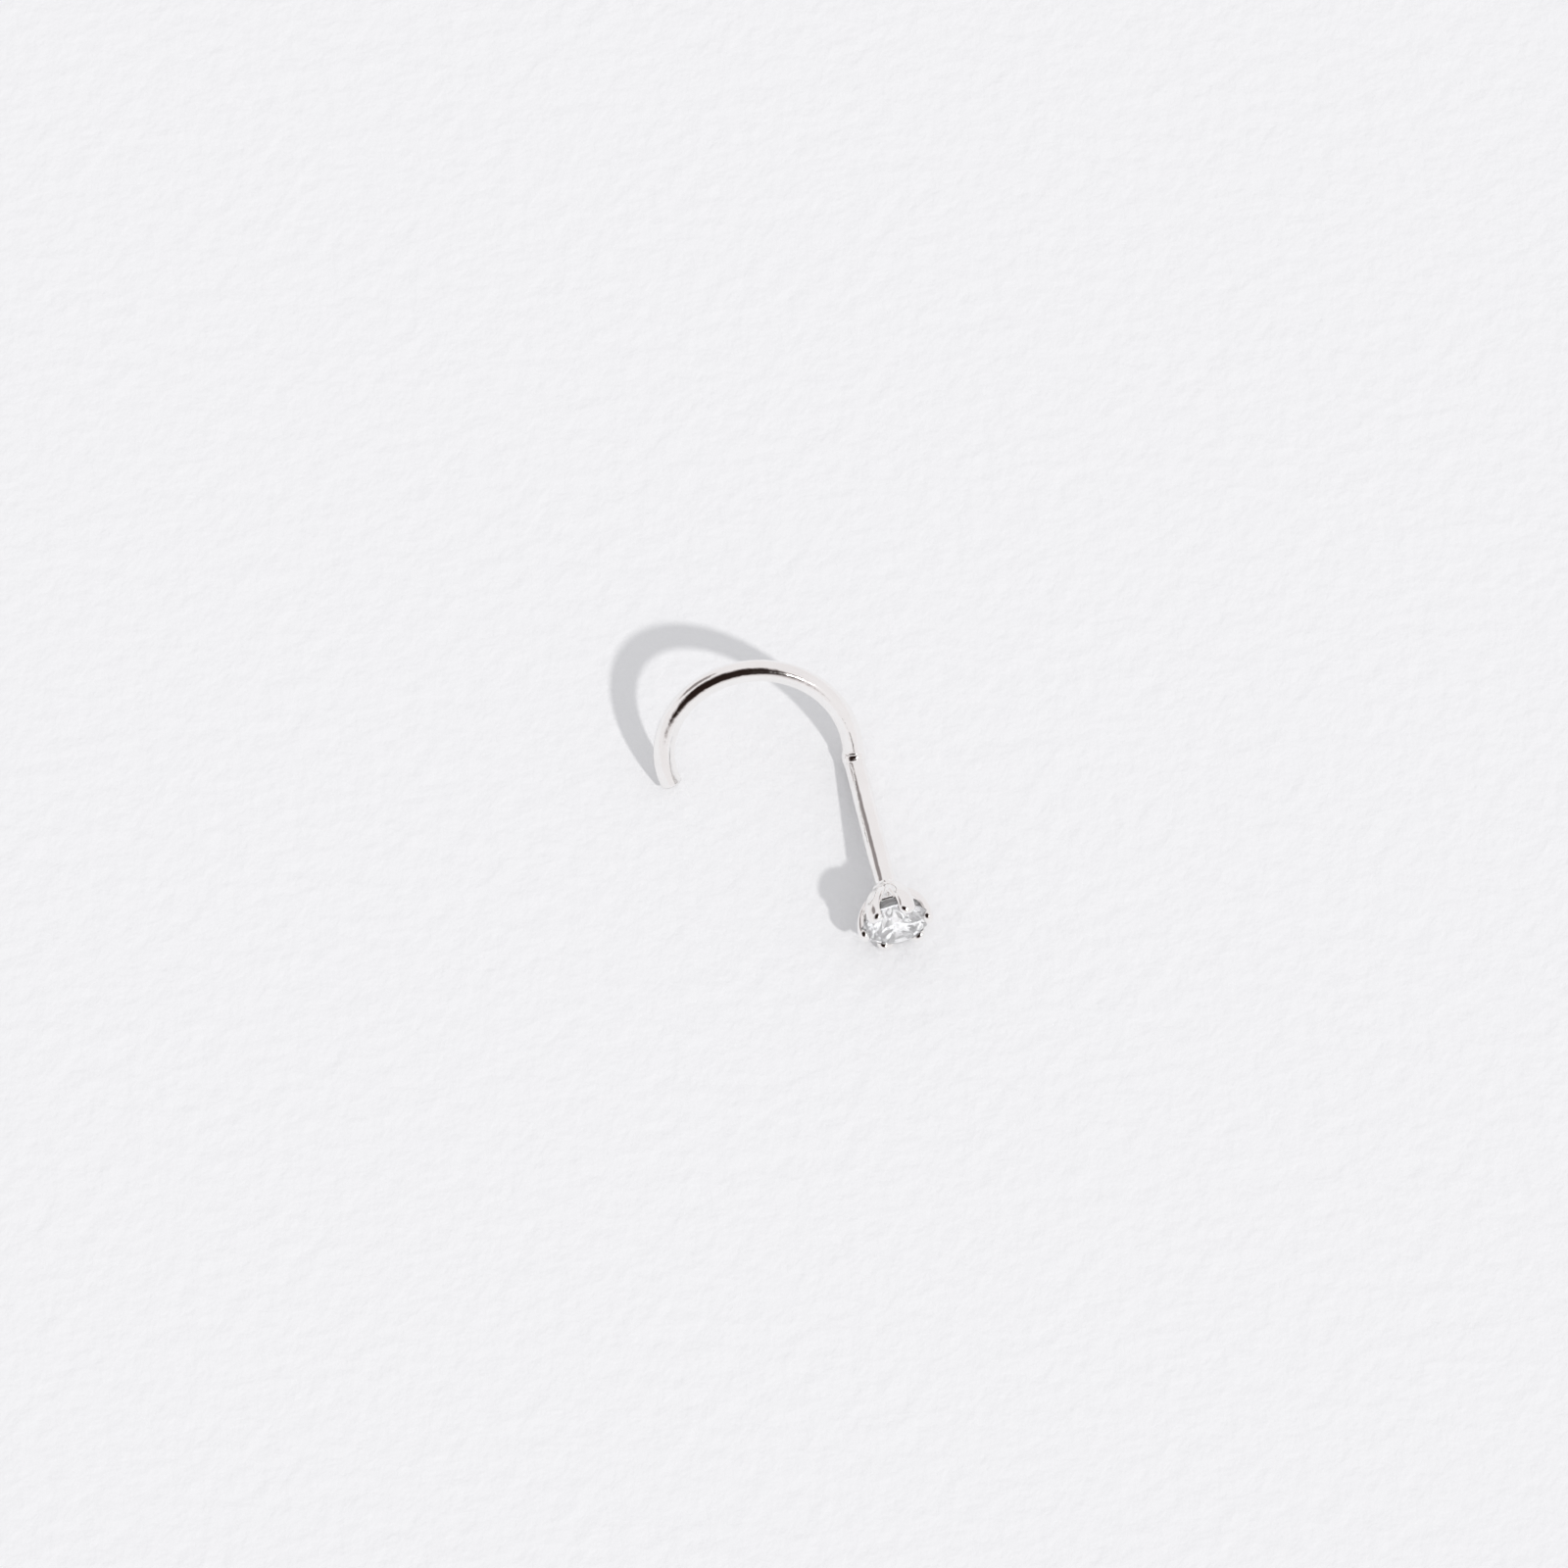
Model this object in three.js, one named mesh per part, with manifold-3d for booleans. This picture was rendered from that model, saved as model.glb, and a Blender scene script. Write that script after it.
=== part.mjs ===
// Nose stud of the screw kind: a round silver wire bent into a post and a C-shaped hook,
// with a six-prong setting soldered to the post and one round brilliant stone in it.
// Millimetres, +Z up. The stud lies on the plane Z = 0 on its hook end, its bend and its
// lowest prong. The post runs along -Y from the bend to the setting, rising a little.
import * as THREE from 'three';
import { ConvexGeometry } from 'three/addons/geometries/ConvexGeometry.js';
import { mergeVertices } from 'three/addons/utils/BufferGeometryUtils.js';
import Module from 'manifold-3d';

const DEG = Math.PI / 180;

// Wire
const WIRE_RADIUS = 0.32;             // 22 gauge wire
const POST_LENGTH = 4.71;             // bend corner to the back of the setting
const POST_SLOPE = 7.9 * DEG;         // rise of the post towards the setting, as it lies
const BEND_LEG = 0.25;                // length of post and hook taken up by the tight bend
const WIRE_STEP = 0.11;
const WIRE_SIDES = 14;

// Hook, a spiral arc in one leaning plane
const HOOK_RADIUS = 3.16;             // at the bend
const HOOK_SHRINK = 0.067;            // part of the radius lost in each radian
const HOOK_START = -9.9 * DEG;        // angles from the level direction in the hook's plane
const HOOK_SWEEP = 205.2 * DEG;
const HOOK_HEADING = -4.1 * DEG;      // level direction of the hook's plane, from +X
const HOOK_LEAN = 54 * DEG;           // angle of the hook's plane above the level

// Stone, a round brilliant
const STONE_RADIUS = 1.0;
const TABLE_RADIUS = 0.56;
const CROWN_HEIGHT = 0.3;
const GIRDLE_HEIGHT = 0.05;
const PAVILION_DEPTH = 0.86;
const STAR_SHARE = 0.5;               // length of a star facet between table and girdle
const HALF_SHARE = 0.76;              // length of a lower half facet between girdle and culet
const STONE_FOLDS = 8;

// Setting, measured along its own axis from its flat back face
const BACK_RADIUS = 0.5;
const GIRDLE_LEVEL = 1.22;            // middle of the stone's girdle
const SEAT_GAP = 0.03;                // clearance round the stone
const RIM_LEVEL = 0.84;               // top edge of the cup that the prongs stand on
const RIM_RADIUS = 0.87;
const RIM_BEVEL = 0.06;
const SOLDER_RADIUS = 0.39;           // collar of solder round the foot of the post
const SOLDER_LENGTH = 0.13;
const SETTING_SIDES = 36;

// Prongs
const PRONG_COUNT = 6;
const PRONG_PHASE = 20 * DEG;         // first prong, from straight up towards +X
const PRONG_HALF_WIDTH = 0.25;
const PRONG_HALF_THICK = 0.17;
const PRONG_TIP_LENGTH = 0.13;
const PRONG_SIDES = 14;
const PRONG_STEPS = 12;
const PRONG_ROUTE = [                 // centre line of a prong
  { radius: 0.26, level: 0.2 },
  { radius: 0.52, level: 0.32 },
  { radius: 0.73, level: 0.52 },
  { radius: 0.89, level: 0.8 },
  { radius: 0.965, level: 1.1 },
  { radius: 0.965, level: 1.37 },
];

const SILVER = new THREE.MeshStandardMaterial({ color: 0xe9e7e4, roughness: 0.12, metalness: 1 });
const CRYSTAL = new THREE.MeshStandardMaterial({ color: 0xf4f6fb, roughness: 0.02, metalness: 0 });

const wasm = await Module();
wasm.setup();

function toSolid(geometry) {
  const bare = geometry.clone();
  bare.deleteAttribute('normal');
  bare.deleteAttribute('uv');
  const merged = mergeVertices(bare, 1e-5);
  return new wasm.Manifold(new wasm.Mesh({
    numProp: 3,
    vertProperties: new Float32Array(merged.attributes.position.array),
    triVerts: new Uint32Array(merged.index.array),
  }));
}

function toGeometry(solid) {
  const mesh = solid.getMesh();
  const geometry = new THREE.BufferGeometry();
  geometry.setAttribute('position', new THREE.BufferAttribute(mesh.vertProperties, 3));
  geometry.setIndex(new THREE.BufferAttribute(mesh.triVerts, 1));
  return geometry;
}

function ovalShape(halfAlongX, halfAlongY, sides) {
  const shape = new THREE.Shape();
  for (let i = 0; i < sides; i += 1) {
    const angle = (2 * Math.PI * i) / sides;
    const point = [halfAlongX * Math.cos(angle), halfAlongY * Math.sin(angle)];
    if (i === 0) shape.moveTo(...point);
    else shape.lineTo(...point);
  }
  shape.closePath();
  return shape;
}

// A solid of revolution about +Z from an outline of { radius, level } rows that starts and
// ends on the axis, listed from the bottom up.
function turned(outline, sides) {
  const points = outline.map((row) => new THREE.Vector2(row.radius, row.level));
  return new THREE.LatheGeometry(points, sides).rotateX(Math.PI / 2);
}

class HookArc extends THREE.Curve {
  constructor(corner, skippedLength) {
    super();
    const level = new THREE.Vector3(Math.cos(HOOK_HEADING), Math.sin(HOOK_HEADING), 0);
    const across = new THREE.Vector3(-Math.sin(HOOK_HEADING), Math.cos(HOOK_HEADING), 0);
    this.level = level;
    this.rise = across.multiplyScalar(Math.cos(HOOK_LEAN)).add(new THREE.Vector3(0, 0, Math.sin(HOOK_LEAN)));
    this.centre = corner.clone().sub(this.spoke(0));
    this.skipped = skippedLength / HOOK_RADIUS;
  }

  spoke(turn) {
    const radius = HOOK_RADIUS * (1 - HOOK_SHRINK * turn);
    const angle = HOOK_START + turn;
    return this.level.clone().multiplyScalar(radius * Math.cos(angle))
      .addScaledVector(this.rise, radius * Math.sin(angle));
  }

  getPoint(share, target = new THREE.Vector3()) {
    const turn = this.skipped + share * (HOOK_SWEEP - this.skipped);
    return target.copy(this.spoke(turn)).add(this.centre);
  }
}

const postDirection = new THREE.Vector3(0, -Math.cos(POST_SLOPE), Math.sin(POST_SLOPE));
const bendCorner = new THREE.Vector3(0, 0, 0);
const settingBack = bendCorner.clone().addScaledVector(postDirection, POST_LENGTH);

function makeWire() {
  const hook = new HookArc(bendCorner, BEND_LEG);
  const postTop = settingBack.clone().addScaledVector(postDirection, SOLDER_LENGTH);
  const bendStart = bendCorner.clone().addScaledVector(postDirection, BEND_LEG);
  const route = new THREE.CurvePath();
  route.add(new THREE.LineCurve3(postTop, bendStart));
  route.add(new THREE.QuadraticBezierCurve3(bendStart, bendCorner, hook.getPoint(0)));
  route.add(hook);
  return new THREE.ExtrudeGeometry(ovalShape(WIRE_RADIUS, WIRE_RADIUS, WIRE_SIDES), {
    steps: Math.round(route.getLength() / WIRE_STEP),
    extrudePath: route,
  });
}

function makeCup() {
  return turned([
    { radius: 0, level: 0 },
    { radius: BACK_RADIUS, level: 0 },
    { radius: BACK_RADIUS + 0.02, level: 0.1 },
    { radius: 0.6, level: 0.32 },
    { radius: 0.73, level: 0.56 },
    { radius: RIM_RADIUS, level: RIM_LEVEL - RIM_BEVEL },
    { radius: RIM_RADIUS - RIM_BEVEL, level: RIM_LEVEL },
    { radius: 0, level: RIM_LEVEL },
  ], SETTING_SIDES);
}

function makeSolderCollar() {
  return turned([
    { radius: 0, level: -SOLDER_LENGTH },
    { radius: WIRE_RADIUS, level: -SOLDER_LENGTH },
    { radius: SOLDER_RADIUS, level: -SOLDER_LENGTH / 3 },
    { radius: SOLDER_RADIUS, level: SOLDER_LENGTH },
    { radius: 0, level: SOLDER_LENGTH },
  ], SETTING_SIDES);
}

// The room that the stone takes in the setting, wider than the stone by the seat gap.
function makeSeatCutter() {
  const bottom = GIRDLE_LEVEL - GIRDLE_HEIGHT / 2 - PAVILION_DEPTH;
  const top = GIRDLE_LEVEL + GIRDLE_HEIGHT / 2 + CROWN_HEIGHT;
  const crownSlope = CROWN_HEIGHT / (STONE_RADIUS - TABLE_RADIUS);
  return turned([
    { radius: 0, level: bottom - SEAT_GAP },
    { radius: SEAT_GAP, level: bottom - SEAT_GAP },
    { radius: STONE_RADIUS + SEAT_GAP, level: GIRDLE_LEVEL - GIRDLE_HEIGHT / 2 - SEAT_GAP / 2 },
    { radius: STONE_RADIUS + SEAT_GAP, level: GIRDLE_LEVEL + GIRDLE_HEIGHT / 2 + SEAT_GAP / 2 },
    { radius: TABLE_RADIUS, level: top + SEAT_GAP * crownSlope + SEAT_GAP / 2 },
    { radius: 0, level: top + SEAT_GAP * crownSlope + SEAT_GAP / 2 },
  ], SETTING_SIDES);
}

// One prong in the plane of X (outwards) and Z (along the setting's axis).
function makeProng() {
  const rows = PRONG_ROUTE.map((row) => new THREE.Vector3(row.radius, 0, row.level));
  const route = new THREE.CatmullRomCurve3(rows);
  const bar = new THREE.ExtrudeGeometry(ovalShape(PRONG_HALF_WIDTH, PRONG_HALF_THICK, PRONG_SIDES), {
    steps: PRONG_STEPS,
    extrudePath: route,
  });
  const end = rows[rows.length - 1];
  const tip = new THREE.SphereGeometry(1, PRONG_SIDES, 8)
    .rotateX(Math.PI / 2)
    .scale(PRONG_HALF_THICK, PRONG_HALF_WIDTH, PRONG_TIP_LENGTH)
    .translate(end.x, end.y, end.z);
  return toSolid(bar).add(toSolid(tip));
}

function makeSetting() {
  let setting = toSolid(makeCup()).add(toSolid(makeSolderCollar()));
  const prong = makeProng();
  for (let i = 0; i < PRONG_COUNT; i += 1) {
    const fromUp = PRONG_PHASE + (2 * Math.PI * i) / PRONG_COUNT;
    setting = setting.add(prong.rotate([0, 0, 90 - fromUp / DEG]));
  }
  return setting.subtract(toSolid(makeSeatCutter()));
}

// The stone about +Z, with the middle of its girdle at the origin and its table on top.
function makeStone() {
  const crownSlope = CROWN_HEIGHT / (STONE_RADIUS - TABLE_RADIUS);
  const pavilionSlope = PAVILION_DEPTH / STONE_RADIUS;
  const halfFold = Math.PI / STONE_FOLDS;
  const edge = GIRDLE_HEIGHT / 2;
  const tableEdge = TABLE_RADIUS * Math.cos(halfFold);
  const starRadius = tableEdge + STAR_SHARE * (STONE_RADIUS - tableEdge);
  const starLevel = edge + (STONE_RADIUS - starRadius * Math.cos(halfFold)) * crownSlope;
  const halfRadius = (1 - HALF_SHARE) * STONE_RADIUS;
  const halfLevel = -edge - (STONE_RADIUS - halfRadius * Math.cos(halfFold)) * pavilionSlope;
  const points = [new THREE.Vector3(0, 0, -edge - PAVILION_DEPTH)];
  const addPoint = (radius, angle, level) => {
    points.push(new THREE.Vector3(radius * Math.cos(angle), radius * Math.sin(angle), level));
  };
  for (let i = 0; i < STONE_FOLDS; i += 1) {
    const corner = 2 * halfFold * i;
    const between = corner + halfFold;
    addPoint(TABLE_RADIUS, corner, edge + CROWN_HEIGHT);
    addPoint(starRadius, between, starLevel);
    addPoint(halfRadius, between, halfLevel);
    for (const angle of [corner, between]) {
      addPoint(STONE_RADIUS, angle, edge);
      addPoint(STONE_RADIUS, angle, -edge);
    }
  }
  return new ConvexGeometry(points);
}

// The setting's axis lies along the post, and its own +Y is as near to up as it can be.
const placeSetting = new THREE.Matrix4()
  .makeRotationX(Math.PI / 2 - POST_SLOPE)
  .setPosition(settingBack);

const settingGeometry = toGeometry(makeSetting()).applyMatrix4(placeSetting);
const frameSolid = toSolid(makeWire()).add(toSolid(settingGeometry));
const silverFrame = new THREE.Mesh(toGeometry(frameSolid), SILVER);
silverFrame.name = 'silver_frame';

const stone = new THREE.Mesh(makeStone().translate(0, 0, GIRDLE_LEVEL), CRYSTAL);
stone.name = 'stone';
stone.applyMatrix4(placeSetting);

const stud = new THREE.Group();
stud.add(silverFrame, stone);

// The origin is at the bottom centre of the stud's box, on the plane that it lies on.
const box = new THREE.Box3().setFromObject(stud, true);
const middle = box.getCenter(new THREE.Vector3());
stud.position.set(-middle.x, -middle.y, -box.min.z);

export default stud;
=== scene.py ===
# Nose stud: the polished silver screw and its brilliant, lying on white paper.
# Shapes are made in millimetres in the setting's or the part's frame and scaled to metres.
from math import cos, exp, pi, radians, sin

import bmesh
import bpy
from mathutils import Matrix, Vector


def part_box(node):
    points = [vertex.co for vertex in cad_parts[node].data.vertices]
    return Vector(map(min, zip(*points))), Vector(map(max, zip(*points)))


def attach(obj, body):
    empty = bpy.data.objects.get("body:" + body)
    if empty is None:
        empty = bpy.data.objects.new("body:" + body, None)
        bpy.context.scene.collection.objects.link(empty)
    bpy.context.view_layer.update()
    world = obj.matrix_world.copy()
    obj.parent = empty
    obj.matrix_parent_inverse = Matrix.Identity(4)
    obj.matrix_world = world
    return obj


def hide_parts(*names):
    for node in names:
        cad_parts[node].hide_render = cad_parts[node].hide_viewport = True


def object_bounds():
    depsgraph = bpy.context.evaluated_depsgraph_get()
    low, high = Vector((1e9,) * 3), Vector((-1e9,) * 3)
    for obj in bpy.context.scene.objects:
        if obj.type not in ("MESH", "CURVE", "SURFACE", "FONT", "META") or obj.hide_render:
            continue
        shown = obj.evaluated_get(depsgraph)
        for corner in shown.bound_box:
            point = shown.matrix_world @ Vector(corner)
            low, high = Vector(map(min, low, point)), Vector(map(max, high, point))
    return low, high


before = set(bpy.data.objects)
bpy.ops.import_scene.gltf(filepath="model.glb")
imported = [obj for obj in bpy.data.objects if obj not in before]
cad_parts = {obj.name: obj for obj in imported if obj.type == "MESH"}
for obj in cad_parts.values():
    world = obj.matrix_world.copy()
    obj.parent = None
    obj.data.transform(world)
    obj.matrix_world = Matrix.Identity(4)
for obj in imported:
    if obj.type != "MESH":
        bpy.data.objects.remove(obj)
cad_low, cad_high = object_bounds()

MM = 0.001

# Driving dimensions of the stud, in millimetres, as in the part
WIRE_RADIUS = 0.32
POST_LENGTH = 4.71
POST_SLOPE = radians(7.9)
BEND_LEG = 0.25
HOOK_RADIUS = 3.16
HOOK_SHRINK = 0.067
HOOK_START = radians(-9.9)
HOOK_SWEEP = radians(205.2)
HOOK_HEADING = radians(-4.1)
HOOK_LEAN = radians(54)
WIRE_SIDES = 48
WIRE_STEP = 0.06
END_ROUNDING = 0.09
KNUCKLE_SWELL = 0.14
KNUCKLE_LIFT = 0.04
KNUCKLE_LENGTH = 0.2

STONE_RADIUS = 1.0
TABLE_RADIUS = 0.56
CROWN_HEIGHT = 0.3
GIRDLE_HEIGHT = 0.05
PAVILION_DEPTH = 0.86
STAR_SHARE = 0.5
HALF_SHARE = 0.76
STONE_FOLDS = 8
GIRDLE_LEVEL = 1.22

BACK_RADIUS = 0.5
RIM_LEVEL = 0.84
RIM_RADIUS = 0.87
SOLDER_RADIUS = 0.39
SOLDER_LENGTH = 0.13
SEAT_GAP = 0.012
PRONG_COUNT = 6
PRONG_PHASE = radians(20)
PRONG_HALF_WIDTH = 0.26
PRONG_HALF_THICK = 0.17
PRONG_ROUTE = [(0.26, 0.2), (0.52, 0.32), (0.73, 0.52), (0.89, 0.8), (0.965, 1.1), (0.965, 1.27)]
PRONG_TIP_LENGTH = 0.23
SETTING_VOXEL = 0.022

# The view and the light
VIEW_AZIMUTH = radians(-12)
VIEW_ELEVATION = radians(65)
VIEW_LENS = 200
VIEW_SENSOR = 36
VIEW_WIDTH = 46.5
AIM_OFFSET = Vector((0.21, 1.61, 0))
SUN_AZIMUTH = radians(29.6)
SUN_ELEVATION = radians(40.6)
DARK_FRONT_AZIMUTH = radians(-25)
DARK_FRONT_ELEVATION = radians(57)
DARK_FRONT_HALF = radians(39)
DARK_SIDE = Vector((-0.62, 0.58, 0.53))
DARK_SIDE_HALF = radians(17)
DARK_SIDE_DEPTH = 0.68
ROOM_BLOTCH_SCALE = 3.0
FILL_STRENGTH = 0.735
THROUGH_STONE_STRENGTH = 1.9


# ---------- mesh helpers ----------

def new_object(name, verts, faces, scale=1.0):
    mesh = bpy.data.meshes.new(name)
    mesh.from_pydata([tuple(Vector(v) * scale) for v in verts], [], faces)
    mesh.update()
    piece = bpy.data.objects.new(name, mesh)
    bpy.context.scene.collection.objects.link(piece)
    return piece


def apply_modifiers(piece):
    depsgraph = bpy.context.evaluated_depsgraph_get()
    mesh = bpy.data.meshes.new_from_object(piece.evaluated_get(depsgraph))
    piece.modifiers.clear()
    old = piece.data
    piece.data = mesh
    bpy.data.meshes.remove(old)


def combine(piece, other, operation):
    modifier = piece.modifiers.new("combine", "BOOLEAN")
    modifier.operation = operation
    modifier.solver = "EXACT"
    modifier.object = other
    bpy.context.view_layer.update()
    apply_modifiers(piece)
    bpy.data.objects.remove(other)


def sweep(route, normal, section, sides, shares):
    """Rings of a section along a route, closed at both ends. Each ring is turned as little as it can be
    from the one before, and shares holds each ring's size as a part of the full section."""
    verts = []
    faces = []
    across = normal
    for i, point in enumerate(route):
        ahead = route[min(i + 1, len(route) - 1)]
        behind = route[max(i - 1, 0)]
        tangent = (ahead - behind).normalized()
        across = (across - tangent * across.dot(tangent)).normalized()
        up = tangent.cross(across)
        for j in range(sides):
            x, y = section(2 * pi * j / sides)
            verts.append(point + across * (x * shares[i]) + up * (y * shares[i]))
    for i in range(len(route) - 1):
        for j in range(sides):
            k = (j + 1) % sides
            low = i * sides
            high = low + sides
            faces.append((low + j, low + k, high + k, high + j))
    for ring, flip in ((0, True), (len(route) - 1, False)):
        centre = len(verts)
        verts.append(route[ring].copy())
        for j in range(sides):
            a = ring * sides + j
            b = ring * sides + (j + 1) % sides
            faces.append((b, a, centre) if flip else (a, b, centre))
    return verts, faces


def lathe(outline, sides):
    """A solid of revolution about Z from (radius, level) rows that starts and ends on the axis."""
    verts = [Vector((0, 0, outline[0][1]))]
    faces = []
    rows = outline[1:-1]
    for radius, level in rows:
        for j in range(sides):
            angle = 2 * pi * j / sides
            verts.append(Vector((radius * cos(angle), radius * sin(angle), level)))
    top = len(verts)
    verts.append(Vector((0, 0, outline[-1][1])))
    last = 1 + (len(rows) - 1) * sides
    for j in range(sides):
        k = (j + 1) % sides
        faces.append((0, 1 + k, 1 + j))
        faces.append((top, last + j, last + k))
        for i in range(len(rows) - 1):
            low = 1 + i * sides
            high = low + sides
            faces.append((low + j, low + k, high + k, high + j))
    return verts, faces


def smooth_route(points, step):
    """A Catmull-Rom curve through the points, sampled about every step."""
    route = []
    ends = [points[0] * 2 - points[1]] + points + [points[-1] * 2 - points[-2]]
    for i in range(1, len(ends) - 2):
        a, b, c, d = ends[i - 1:i + 3]
        count = max(2, round((c - b).length / step))
        for j in range(count):
            t = j / count
            route.append(0.5 * (2 * b + (c - a) * t + (2 * a - 5 * b + 4 * c - d) * t * t
                                + (3 * b - a - 3 * c + d) * t * t * t))
    route.append(points[-1].copy())
    return route


# ---------- the wire ----------

post_direction = Vector((0, -cos(POST_SLOPE), sin(POST_SLOPE)))


def hook_spoke(turn):
    level = Vector((cos(HOOK_HEADING), sin(HOOK_HEADING), 0))
    across = Vector((-sin(HOOK_HEADING), cos(HOOK_HEADING), 0))
    rise = across * cos(HOOK_LEAN) + Vector((0, 0, sin(HOOK_LEAN)))
    radius = HOOK_RADIUS * (1 - HOOK_SHRINK * turn)
    return level * radius * cos(HOOK_START + turn) + rise * radius * sin(HOOK_START + turn)


def wire_route():
    skipped = BEND_LEG / HOOK_RADIUS
    hook_count = round((HOOK_SWEEP - skipped) * HOOK_RADIUS / WIRE_STEP)
    post_top = post_direction * (POST_LENGTH + SOLDER_LENGTH)
    bend_start = post_direction * BEND_LEG
    hook_start = hook_spoke(skipped) - hook_spoke(0)
    post_count = round((post_top - bend_start).length / WIRE_STEP)
    route = [post_top.lerp(bend_start, i / post_count) for i in range(post_count)]
    bend_count = 10
    for i in range(bend_count):
        t = i / bend_count
        route.append(bend_start * (1 - t) ** 2 + hook_start * t * t)
    for i in range(hook_count + 1):
        turn = skipped + (HOOK_SWEEP - skipped) * i / hook_count
        route.append(hook_spoke(turn) - hook_spoke(0))
    return route


def wire_section(angle):
    return WIRE_RADIUS * cos(angle), WIRE_RADIUS * sin(angle)


def make_wire():
    route = wire_route()
    shares = [1.0] * len(route)
    end = route.pop()
    before = route[-1]
    shares.pop()
    direction = (end - before).normalized()
    for i, point in enumerate(route):
        nearness = exp(-(point.length / KNUCKLE_LENGTH) ** 2)
        shares[i] += KNUCKLE_SWELL * nearness
        point.z += KNUCKLE_LIFT * nearness
    rounds = 7
    for i in range(1, rounds + 1):
        angle = pi / 2 * i / rounds
        route.append(end - direction * END_ROUNDING * (1 - sin(angle)))
        shares.append(1 - END_ROUNDING / WIRE_RADIUS * (1 - cos(angle)))
    verts, faces = sweep(route, Vector((1, 0, 0)), wire_section, WIRE_SIDES, shares)
    return new_object("wire", verts, faces)


# ---------- the setting, along +Z from its flat back ----------

def rounded_oval(angle):
    squareness = 2 / 2.4
    x = cos(angle)
    y = sin(angle)
    side_x = PRONG_HALF_WIDTH * (1 if x > 0 else -1) * abs(x) ** squareness
    side_y = PRONG_HALF_THICK * (1 if y > 0 else -1) * abs(y) ** squareness
    return side_x, side_y


def make_prong(fromup):
    points = [Vector((0, radius, level)) for radius, level in PRONG_ROUTE]
    route = smooth_route(points, 0.05)
    shares = [1.0] * len(route)
    rounds = 8
    for i in range(1, rounds + 1):
        angle = pi / 2 * i / rounds * 0.97
        route.append(points[-1] + Vector((0, 0, PRONG_TIP_LENGTH * sin(angle))))
        shares.append(cos(angle))
    verts, faces = sweep(route, Vector((1, 0, 0)), rounded_oval, 28, shares)
    turn = Matrix.Rotation(-fromup, 4, "Z")
    return [turn @ v for v in verts], faces


def make_setting():
    cup = lathe([(0, 0), (BACK_RADIUS - 0.02, 0), (BACK_RADIUS, 0.02), (BACK_RADIUS + 0.02, 0.1),
                 (0.6, 0.32), (0.73, 0.56), (RIM_RADIUS, RIM_LEVEL - 0.06), (RIM_RADIUS - 0.02, RIM_LEVEL - 0.01),
                 (RIM_RADIUS - 0.06, RIM_LEVEL), (0, RIM_LEVEL)], 72)
    collar = lathe([(0, -SOLDER_LENGTH * 1.4), (WIRE_RADIUS - 0.01, -SOLDER_LENGTH * 1.4),
                    (WIRE_RADIUS + 0.02, -SOLDER_LENGTH * 0.7), (SOLDER_RADIUS, -0.03),
                    (SOLDER_RADIUS, 0.05), (0, 0.05)], 48)
    shells = [cup, collar]
    for i in range(PRONG_COUNT):
        shells.append(make_prong(PRONG_PHASE + 2 * pi * i / PRONG_COUNT))
    verts = []
    faces = []
    for shell_verts, shell_faces in shells:
        start = len(verts)
        verts += shell_verts
        faces += [tuple(start + v for v in face) for face in shell_faces]
    setting = new_object("setting", verts, faces)
    remesh = setting.modifiers.new("solder", "REMESH")
    remesh.mode = "VOXEL"
    remesh.voxel_size = SETTING_VOXEL
    smooth = setting.modifiers.new("polish", "SMOOTH")
    smooth.factor = 0.5
    smooth.iterations = 5
    apply_modifiers(setting)
    return setting


def make_seat_cutter():
    bottom = GIRDLE_LEVEL - GIRDLE_HEIGHT / 2 - PAVILION_DEPTH
    top = GIRDLE_LEVEL + GIRDLE_HEIGHT / 2 + CROWN_HEIGHT
    slope = CROWN_HEIGHT / (STONE_RADIUS - TABLE_RADIUS)
    verts, faces = lathe([
        (0, bottom - SEAT_GAP),
        (SEAT_GAP, bottom - SEAT_GAP),
        (STONE_RADIUS + SEAT_GAP, GIRDLE_LEVEL - GIRDLE_HEIGHT / 2 - SEAT_GAP / 2),
        (STONE_RADIUS + SEAT_GAP, GIRDLE_LEVEL + GIRDLE_HEIGHT / 2 + SEAT_GAP / 2),
        (TABLE_RADIUS, top + SEAT_GAP * slope + SEAT_GAP / 2),
        (0, top + SEAT_GAP * slope + SEAT_GAP / 2),
    ], 96)
    return new_object("seat_cutter", verts, faces)


# ---------- the stone ----------

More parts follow.
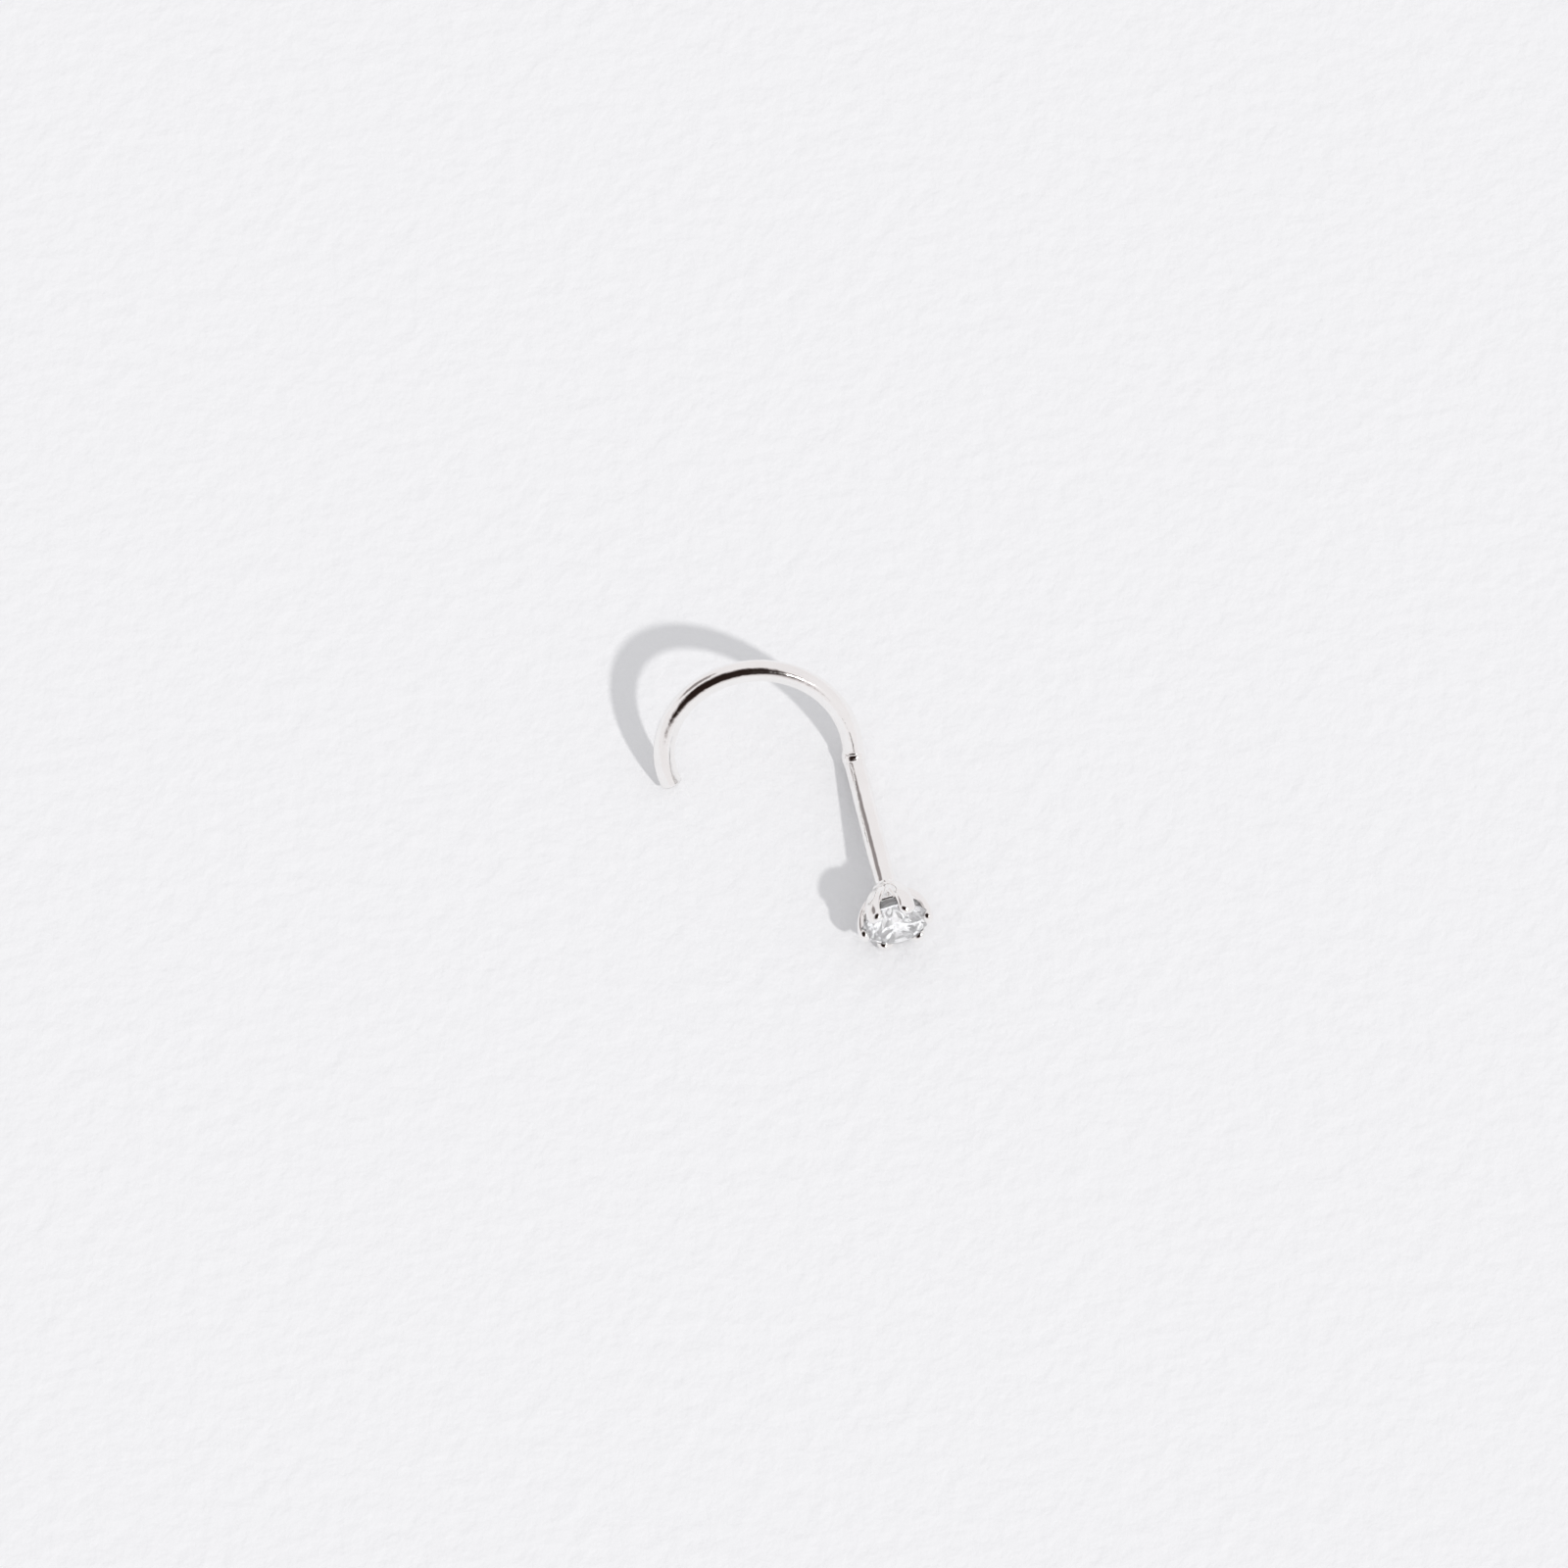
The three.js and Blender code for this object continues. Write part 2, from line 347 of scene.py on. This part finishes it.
def make_stone():
    slope = CROWN_HEIGHT / (STONE_RADIUS - TABLE_RADIUS)
    pavilion_slope = PAVILION_DEPTH / STONE_RADIUS
    half_fold = pi / STONE_FOLDS
    edge = GIRDLE_HEIGHT / 2
    table_edge = TABLE_RADIUS * cos(half_fold)
    star_radius = table_edge + STAR_SHARE * (STONE_RADIUS - table_edge)
    star_level = edge + (STONE_RADIUS - star_radius * cos(half_fold)) * slope
    half_radius = (1 - HALF_SHARE) * STONE_RADIUS
    half_level = -edge - (STONE_RADIUS - half_radius * cos(half_fold)) * pavilion_slope
    points = [Vector((0, 0, -edge - PAVILION_DEPTH))]
    for i in range(STONE_FOLDS):
        corner = 2 * half_fold * i
        between = corner + half_fold
        rows = [(TABLE_RADIUS, corner, edge + CROWN_HEIGHT), (star_radius, between, star_level),
                (half_radius, between, half_level)]
        for angle in (corner, between):
            rows += [(STONE_RADIUS, angle, edge), (STONE_RADIUS, angle, -edge)]
        points += [Vector((radius * cos(angle), radius * sin(angle), level)) for radius, angle, level in rows]
    shape = bmesh.new()
    for point in points:
        shape.verts.new(point)
    bmesh.ops.convex_hull(shape, input=shape.verts)
    bmesh.ops.dissolve_limit(shape, angle_limit=radians(0.3), verts=shape.verts, edges=shape.edges)
    mesh = bpy.data.meshes.new("brilliant")
    shape.to_mesh(mesh)
    shape.free()
    stone = bpy.data.objects.new("brilliant", mesh)
    bpy.context.scene.collection.objects.link(stone)
    mesh.transform(Matrix.Translation((0, 0, GIRDLE_LEVEL)))
    return stone


# ---------- materials ----------

def node_material(name):
    material = bpy.data.materials.new(name)
    material.use_nodes = True
    tree = material.node_tree
    return material, tree, tree.nodes["Principled BSDF"]


def add_node(tree, kind, **values):
    node = tree.nodes.new(kind)
    for key, value in values.items():
        if hasattr(node, key):
            setattr(node, key, value)
        else:
            node.inputs[key.replace("_", " ")].default_value = value
    return node


def silver_material():
    material, tree, shader = node_material("polished_silver")
    links = tree.links
    shader.inputs["Metallic"].default_value = 1.0
    place = add_node(tree, "ShaderNodeTexCoord")
    cloud = add_node(tree, "ShaderNodeTexNoise", Scale=900.0, Detail=3.0)
    links.new(place.outputs["Object"], cloud.inputs["Vector"])
    tone = add_node(tree, "ShaderNodeValToRGB")
    tone.color_ramp.elements[0].position = 0.3
    tone.color_ramp.elements[0].color = (0.93, 0.915, 0.9, 1)
    tone.color_ramp.elements[1].position = 0.7
    tone.color_ramp.elements[1].color = (0.975, 0.965, 0.955, 1)
    links.new(cloud.outputs["Fac"], tone.inputs["Fac"])
    links.new(tone.outputs["Color"], shader.inputs["Base Color"])
    rough = add_node(tree, "ShaderNodeMapRange")
    rough.inputs["To Min"].default_value = 0.035
    rough.inputs["To Max"].default_value = 0.14
    links.new(cloud.outputs["Fac"], rough.inputs["Value"])
    links.new(rough.outputs["Result"], shader.inputs["Roughness"])
    dents = add_node(tree, "ShaderNodeTexNoise", Scale=2600.0, Detail=2.0, Roughness=0.5)
    grain = add_node(tree, "ShaderNodeTexNoise", Scale=16000.0, Detail=4.0, Roughness=0.6)
    links.new(place.outputs["Object"], dents.inputs["Vector"])
    links.new(place.outputs["Object"], grain.inputs["Vector"])
    dent_bump = add_node(tree, "ShaderNodeBump", Strength=0.6, Distance=0.000022)
    grain_bump = add_node(tree, "ShaderNodeBump", Strength=0.5, Distance=0.000003)
    links.new(dents.outputs["Fac"], dent_bump.inputs["Height"])
    links.new(grain.outputs["Fac"], grain_bump.inputs["Height"])
    links.new(dent_bump.outputs["Normal"], grain_bump.inputs["Normal"])
    links.new(grain_bump.outputs["Normal"], shader.inputs["Normal"])
    return material


def stone_material():
    material, tree, shader = node_material("clear_stone")
    shader.inputs["Base Color"].default_value = (0.985, 0.99, 1.0, 1)
    shader.inputs["Transmission Weight"].default_value = 0.8
    shader.inputs["IOR"].default_value = 2.16
    place = add_node(tree, "ShaderNodeTexCoord")
    wear = add_node(tree, "ShaderNodeTexNoise", Scale=5000.0, Detail=2.0)
    tree.links.new(place.outputs["Object"], wear.inputs["Vector"])
    rough = add_node(tree, "ShaderNodeMapRange")
    rough.inputs["To Min"].default_value = 0.0
    rough.inputs["To Max"].default_value = 0.02
    tree.links.new(wear.outputs["Fac"], rough.inputs["Value"])
    tree.links.new(rough.outputs["Result"], shader.inputs["Roughness"])
    return material


def paper_material():
    material, tree, shader = node_material("paper")
    links = tree.links
    shader.inputs["Base Color"].default_value = (0.86, 0.862, 0.875, 1)
    shader.inputs["Roughness"].default_value = 0.9
    shader.inputs["Specular IOR Level"].default_value = 0.1
    place = add_node(tree, "ShaderNodeTexCoord")
    lumps = add_node(tree, "ShaderNodeTexNoise", Scale=1500.0, Detail=5.0, Roughness=0.55)
    links.new(place.outputs["Object"], lumps.inputs["Vector"])
    bump = add_node(tree, "ShaderNodeBump", Strength=0.6, Distance=0.00012)
    links.new(lumps.outputs["Fac"], bump.inputs["Height"])
    links.new(bump.outputs["Normal"], shader.inputs["Normal"])
    return material


# ---------- the room ----------

def direction(azimuth, elevation):
    """Azimuth 0 is towards -Y and turns towards +X."""
    return Vector((sin(azimuth) * cos(elevation), -cos(azimuth) * cos(elevation), sin(elevation)))


def make_floor():
    size = 0.6
    verts = [(-size, -size, 0), (size, -size, 0), (size, size, 0), (-size, size, 0)]
    floor = new_object("paper_floor", verts, [(0, 1, 2, 3)])
    floor.data.materials.append(paper_material())


def dark_area(tree, place, centre, half_angle, softness):
    """How dark the room is in each direction: 1 inside a round area about the centre, fading to 0 at its edge."""
    facing = add_node(tree, "ShaderNodeVectorMath", operation="DOT_PRODUCT")
    facing.inputs[1].default_value = centre.normalized()
    tree.links.new(place.outputs["Generated"], facing.inputs[0])
    blotches = add_node(tree, "ShaderNodeTexNoise", Scale=ROOM_BLOTCH_SCALE, Detail=3.0)
    tree.links.new(place.outputs["Generated"], blotches.inputs["Vector"])
    uneven = add_node(tree, "ShaderNodeMath", operation="MULTIPLY_ADD")
    uneven.inputs[1].default_value = softness
    tree.links.new(blotches.outputs["Fac"], uneven.inputs[0])
    tree.links.new(facing.outputs["Value"], uneven.inputs[2])
    fade = add_node(tree, "ShaderNodeMapRange", interpolation_type="SMOOTHSTEP")
    middle = cos(half_angle) + softness / 2
    fade.inputs["From Min"].default_value = middle - softness / 2
    fade.inputs["From Max"].default_value = middle + softness / 2
    tree.links.new(uneven.outputs["Value"], fade.inputs["Value"])
    return fade.outputs["Result"]


def make_world():
    """Even soft light for matt surfaces. What shines sees a light room with dark areas in it."""
    world = bpy.data.worlds.new("room")
    bpy.context.scene.world = world
    world.use_nodes = True
    tree = world.node_tree
    tree.nodes.clear()
    links = tree.links
    place = add_node(tree, "ShaderNodeTexCoord")
    front = dark_area(tree, place, direction(DARK_FRONT_AZIMUTH, DARK_FRONT_ELEVATION), DARK_FRONT_HALF, 0.22)
    side = dark_area(tree, place, DARK_SIDE, DARK_SIDE_HALF, 0.06)
    grey_side = add_node(tree, "ShaderNodeMath", operation="MULTIPLY")
    grey_side.inputs[1].default_value = DARK_SIDE_DEPTH
    links.new(side, grey_side.inputs[0])
    dark = add_node(tree, "ShaderNodeMath", operation="MAXIMUM")
    links.new(front, dark.inputs[0])
    links.new(grey_side.outputs["Value"], dark.inputs[1])
    colour = add_node(tree, "ShaderNodeValToRGB")
    stops = colour.color_ramp.elements
    stops[0].position = 0.0
    stops[0].color = (0.86, 0.84, 0.85, 1)
    stops[1].position = 1.0
    stops[1].color = (0.02, 0.012, 0.01, 1)
    half_dark = stops.new(0.4)
    half_dark.color = (0.5, 0.46, 0.46, 1)
    links.new(dark.outputs["Value"], colour.inputs["Fac"])
    rays = add_node(tree, "ShaderNodeLightPath")
    room = add_node(tree, "ShaderNodeBackground", Strength=1.0)
    links.new(colour.outputs["Color"], room.inputs["Color"])
    strength = add_node(tree, "ShaderNodeMath", operation="MULTIPLY_ADD")
    strength.inputs[1].default_value = THROUGH_STONE_STRENGTH - FILL_STRENGTH
    strength.inputs[2].default_value = FILL_STRENGTH
    links.new(rays.outputs["Is Transmission Ray"], strength.inputs[0])
    fill = add_node(tree, "ShaderNodeBackground", Color=(0.985, 0.985, 1.0, 1))
    links.new(strength.outputs["Value"], fill.inputs["Strength"])
    soft = add_node(tree, "ShaderNodeMath", operation="MAXIMUM")
    links.new(rays.outputs["Is Diffuse Ray"], soft.inputs[0])
    links.new(rays.outputs["Is Camera Ray"], soft.inputs[1])
    softest = add_node(tree, "ShaderNodeMath", operation="MAXIMUM")
    links.new(soft.outputs["Value"], softest.inputs[0])
    links.new(rays.outputs["Is Transmission Ray"], softest.inputs[1])
    mix = add_node(tree, "ShaderNodeMixShader")
    links.new(softest.outputs["Value"], mix.inputs["Fac"])
    links.new(room.outputs["Background"], mix.inputs[1])
    links.new(fill.outputs["Background"], mix.inputs[2])
    output = add_node(tree, "ShaderNodeOutputWorld")
    links.new(mix.outputs["Shader"], output.inputs["Surface"])


def make_sun():
    light = bpy.data.lights.new("key", "SUN")
    light.energy = 1.49
    light.angle = radians(3)
    light.color = (1.0, 0.985, 0.97)
    sun = bpy.data.objects.new("key", light)
    sun.rotation_euler = direction(SUN_AZIMUTH, SUN_ELEVATION).to_track_quat("Z", "Y").to_euler()
    bpy.context.scene.collection.objects.link(sun)


def make_camera():
    camera = bpy.data.cameras.new("camera")
    camera.lens = VIEW_LENS
    camera.sensor_width = VIEW_SENSOR
    camera.clip_start = 0.005
    camera.clip_end = 5
    holder = bpy.data.objects.new("camera", camera)
    away = direction(VIEW_AZIMUTH, VIEW_ELEVATION)
    middle = (cad_low + cad_high) / 2
    aim = Vector((middle.x, middle.y, 0)) + AIM_OFFSET * MM
    holder.location = aim + away * (VIEW_WIDTH * MM * VIEW_LENS / VIEW_SENSOR)
    holder.rotation_euler = away.to_track_quat("Z", "Y").to_euler()
    bpy.context.scene.collection.objects.link(holder)
    bpy.context.scene.camera = holder


# ---------- the stud ----------

def finish_piece(piece, node, material, smooth):
    for polygon in piece.data.polygons:
        polygon.use_smooth = smooth
    piece.data.materials.clear()
    piece.data.materials.append(material)
    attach(piece, "root")
    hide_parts(node)


def build_stud():
    setting_place = Matrix.Translation(post_direction * POST_LENGTH) @ Matrix.Rotation(pi / 2 - POST_SLOPE, 4, "X")
    silver = make_setting()
    combine(silver, make_seat_cutter(), "DIFFERENCE")
    silver.data.transform(setting_place)
    combine(silver, make_wire(), "UNION")
    stone = make_stone()
    stone.data.transform(setting_place)
    stone_low = Vector([min(v.co[k] for v in stone.data.vertices) for k in range(3)])
    cad_stone_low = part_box("stone")[0]
    shift = cad_stone_low - stone_low * MM
    into_frame = Matrix.Translation(shift) @ Matrix.Scale(MM, 4)
    for piece in (silver, stone):
        piece.data.transform(into_frame)
    silver.name = "silver_screw"
    finish_piece(silver, "silver_frame", silver_material(), True)
    finish_piece(stone, "stone", stone_material(), False)
    print("triangles", sum(len(p.vertices) - 2 for p in silver.data.polygons))


build_stud()
make_floor()
make_world()
make_sun()
make_camera()
bpy.context.scene.view_settings.view_transform = "Standard"
